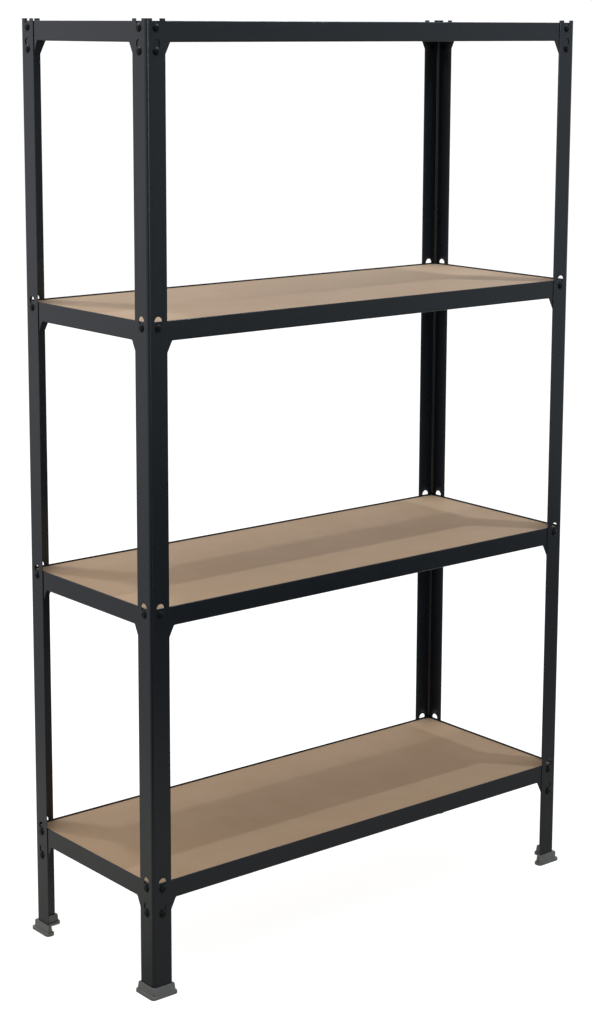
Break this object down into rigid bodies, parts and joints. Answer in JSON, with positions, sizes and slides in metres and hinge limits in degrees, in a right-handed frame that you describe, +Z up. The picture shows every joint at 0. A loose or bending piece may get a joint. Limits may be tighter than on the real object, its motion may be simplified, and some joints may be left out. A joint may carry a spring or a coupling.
{
  "type": "boltless shelving unit",
  "caption": "Free-standing rack: dark angle uprights with keyholes, edge beams hooked in by headed rivets, loose fibreboard shelves and plastic boots.",
  "frame": {"origin": "on the floor under the middle of the rack", "axes": "+Z up along the uprights, X along the long side, front at -Y"},
  "size_m": [0.903, 0.35, 1.5],
  "materials": {
    "dark_paint": "satin charcoal powder coat",
    "rivet_paint": "satin black coated rivet heads",
    "fibreboard": "bare medium-density fibreboard, matt",
    "foot_plastic": "moulded dark grey plastic"
  },
  "bodies": {
    "frame": {"front_left_upright": "dark_paint", "front_right_upright": "dark_paint", "back_left_upright": "dark_paint", "back_right_upright": "dark_paint", "front_left_foot": "foot_plastic", "front_right_foot": "foot_plastic", "back_left_foot": "foot_plastic", "back_right_foot": "foot_plastic"},
    "shelf_1_beams": {"shelf_1_front_beam": "dark_paint", "shelf_1_front_rivets": "rivet_paint", "shelf_1_back_beam": "dark_paint", "shelf_1_back_rivets": "rivet_paint", "shelf_1_left_beam": "dark_paint", "shelf_1_left_rivets": "rivet_paint", "shelf_1_right_beam": "dark_paint", "shelf_1_right_rivets": "rivet_paint"},
    "shelf_1_panel": {"shelf_1_board": "fibreboard"},
    "shelf_2_beams": {"shelf_2_front_beam": "dark_paint", "shelf_2_front_rivets": "rivet_paint", "shelf_2_back_beam": "dark_paint", "shelf_2_back_rivets": "rivet_paint", "shelf_2_left_beam": "dark_paint", "shelf_2_left_rivets": "rivet_paint", "shelf_2_right_beam": "dark_paint", "shelf_2_right_rivets": "rivet_paint"},
    "shelf_2_panel": {"shelf_2_board": "fibreboard"},
    "shelf_3_beams": {"shelf_3_front_beam": "dark_paint", "shelf_3_front_rivets": "rivet_paint", "shelf_3_back_beam": "dark_paint", "shelf_3_back_rivets": "rivet_paint", "shelf_3_left_beam": "dark_paint", "shelf_3_left_rivets": "rivet_paint", "shelf_3_right_beam": "dark_paint", "shelf_3_right_rivets": "rivet_paint"},
    "shelf_3_panel": {"shelf_3_board": "fibreboard"},
    "shelf_4_beams": {"shelf_4_front_beam": "dark_paint", "shelf_4_front_rivets": "rivet_paint", "shelf_4_back_beam": "dark_paint", "shelf_4_back_rivets": "rivet_paint", "shelf_4_left_beam": "dark_paint", "shelf_4_left_rivets": "rivet_paint", "shelf_4_right_beam": "dark_paint", "shelf_4_right_rivets": "rivet_paint"},
    "shelf_4_panel": {"shelf_4_board": "fibreboard"}
  },
  "joints": [
    {"name": "shelf_1_unhook", "type": "slide", "parent": "frame", "child": "shelf_1_beams", "axis": [0, 0, 1], "range_m": [0, 0.0107]},
    {"name": "shelf_2_unhook", "type": "slide", "parent": "frame", "child": "shelf_2_beams", "axis": [0, 0, 1], "range_m": [0, 0.0107]},
    {"name": "shelf_3_unhook", "type": "slide", "parent": "frame", "child": "shelf_3_beams", "axis": [0, 0, 1], "range_m": [0, 0.0107]},
    {"name": "shelf_4_unhook", "type": "slide", "parent": "frame", "child": "shelf_4_beams", "axis": [0, 0, 1], "range_m": [0, 0.0107]},
    {"name": "shelf_1_board_lift", "type": "slide", "parent": "shelf_1_beams", "child": "shelf_1_panel", "axis": [0, 0, 1], "range_m": [0, 0.3]},
    {"name": "shelf_2_board_lift", "type": "slide", "parent": "shelf_2_beams", "child": "shelf_2_panel", "axis": [0, 0, 1], "range_m": [0, 0.3]},
    {"name": "shelf_3_board_lift", "type": "slide", "parent": "shelf_3_beams", "child": "shelf_3_panel", "axis": [0, 0, 1], "range_m": [0, 0.3]},
    {"name": "shelf_4_board_lift", "type": "slide", "parent": "shelf_4_beams", "child": "shelf_4_panel", "axis": [0, 0, 1], "range_m": [0, 0.2]}
  ]
}
